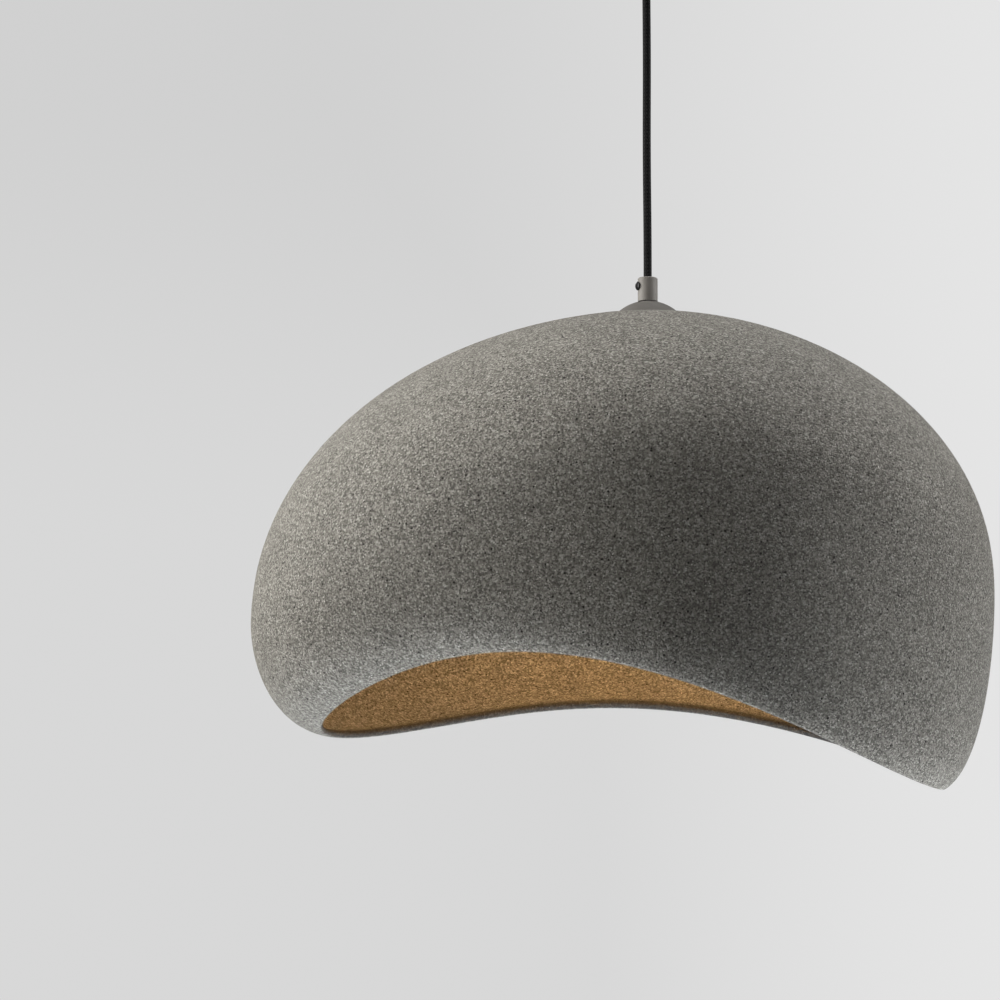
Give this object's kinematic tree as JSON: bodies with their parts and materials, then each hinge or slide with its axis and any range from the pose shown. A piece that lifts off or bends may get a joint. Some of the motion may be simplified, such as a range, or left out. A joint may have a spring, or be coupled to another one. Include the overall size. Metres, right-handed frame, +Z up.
{
  "type": "pendant ceiling light",
  "caption": "Pendant light: asymmetric stone-grained dome shade with an inward-rolled wavy rim, hung on a black textile cord from a cup canopy.",
  "frame": {"origin": "on the ceiling, on the cord's axis, at the middle of the bracket's upper face", "axes": "+Z up through the ceiling; +X to the right and +Y away from the viewer, seen from the front"},
  "size_m": [0.5565, 0.462, 0.6665],
  "materials": {
    "grey_paint": "satin",
    "black_steel": "satin",
    "zinc_steel": "satin",
    "brass": "satin",
    "black_textile": "matte",
    "stone_grain": "matte",
    "black_plastic": "satin",
    "white_plastic": "satin",
    "ceramic": "gloss",
    "brown_insulation": "satin",
    "blue_insulation": "satin",
    "bare_aluminium": "satin",
    "board": "matte",
    "opal_glass": "satin"
  },
  "bodies": {
    "mount": {"ceiling_bracket": "zinc_steel", "earth_screw": "brass", "terminal_block": "white_plastic", "block_screw": "zinc_steel", "terminal_screw_1": "zinc_steel", "terminal_screw_2": "zinc_steel", "terminal_screw_3": "zinc_steel", "terminal_screw_4": "zinc_steel", "ceiling_live_lead": "brown_insulation", "ceiling_neutral_lead": "blue_insulation"},
    "canopy": {"canopy_cup": "grey_paint", "canopy_cord_grip": "grey_paint", "canopy_lock_nut": "zinc_steel"},
    "side_screw_left": {"canopy_side_screw_left": "black_steel"},
    "side_screw_right": {"canopy_side_screw_right": "black_steel"},
    "canopy_grip_screw": {"canopy_grip_screw": "black_steel"},
    "cord": {"suspension_cord": "black_textile"},
    "lamp_grip": {"lamp_cord_grip": "grey_paint"},
    "lamp_grip_screw": {"lamp_grip_screw": "black_steel"},
    "shade": {"dome_cap": "grey_paint", "threaded_nipple": "zinc_steel", "shade": "stone_grain", "shade_washer": "zinc_steel", "nipple_nut": "zinc_steel", "lampholder_cap": "black_plastic", "lampholder_shell": "black_plastic", "lampholder_core": "ceramic", "socket_screw_shell": "brass", "socket_centre_contact": "brass", "lamp_live_lead": "brown_insulation", "lamp_neutral_lead": "blue_insulation"},
    "bulb": {"bulb_centre_contact": "brass", "bulb_screw_base": "bare_aluminium", "bulb_collar": "white_plastic", "bulb_led_board": "board", "bulb_globe": "opal_glass"}
  },
  "joints": [
    {"name": "canopy_lower", "type": "slide", "parent": "mount", "child": "canopy", "axis": [0, 0, -1], "range_m": [0, 0.04]},
    {"name": "side_screw_left_out", "type": "slide", "parent": "canopy", "child": "side_screw_left", "axis": [-1, 0, 0], "range_m": [0, 0.006]},
    {"name": "side_screw_right_out", "type": "slide", "parent": "canopy", "child": "side_screw_right", "axis": [1, 0, 0], "range_m": [0, 0.006]},
    {"name": "canopy_grip_screw_out", "type": "slide", "parent": "canopy", "child": "canopy_grip_screw", "axis": [-0.9511, -0.309, 0], "range_m": [0, 0.002]},
    {"name": "cord_swing", "type": "hinge", "parent": "canopy", "child": "cord", "pos_m": [0, 0, -0.045], "axis": [0, 1, 0], "range_deg": [-15, 15]},
    {"name": "lamp_rock", "type": "hinge", "parent": "cord", "child": "lamp_grip", "pos_m": [0, 0, -0.2732], "axis": [1, 0, 0], "range_deg": [-12, 12]},
    {"name": "lamp_grip_screw_out", "type": "slide", "parent": "lamp_grip", "child": "lamp_grip_screw", "axis": [-0.9511, -0.309, 0], "range_m": [0, 0.002]},
    {"name": "shade_turn", "type": "hinge", "parent": "lamp_grip", "child": "shade", "pos_m": [0, 0, -0.2899], "axis": [0, 0, 1], "range_deg": [-170, 170]},
    {"name": "bulb_out", "type": "slide", "parent": "shade", "child": "bulb", "axis": [0, 0, -1], "range_m": [0, 0.03]}
  ]
}
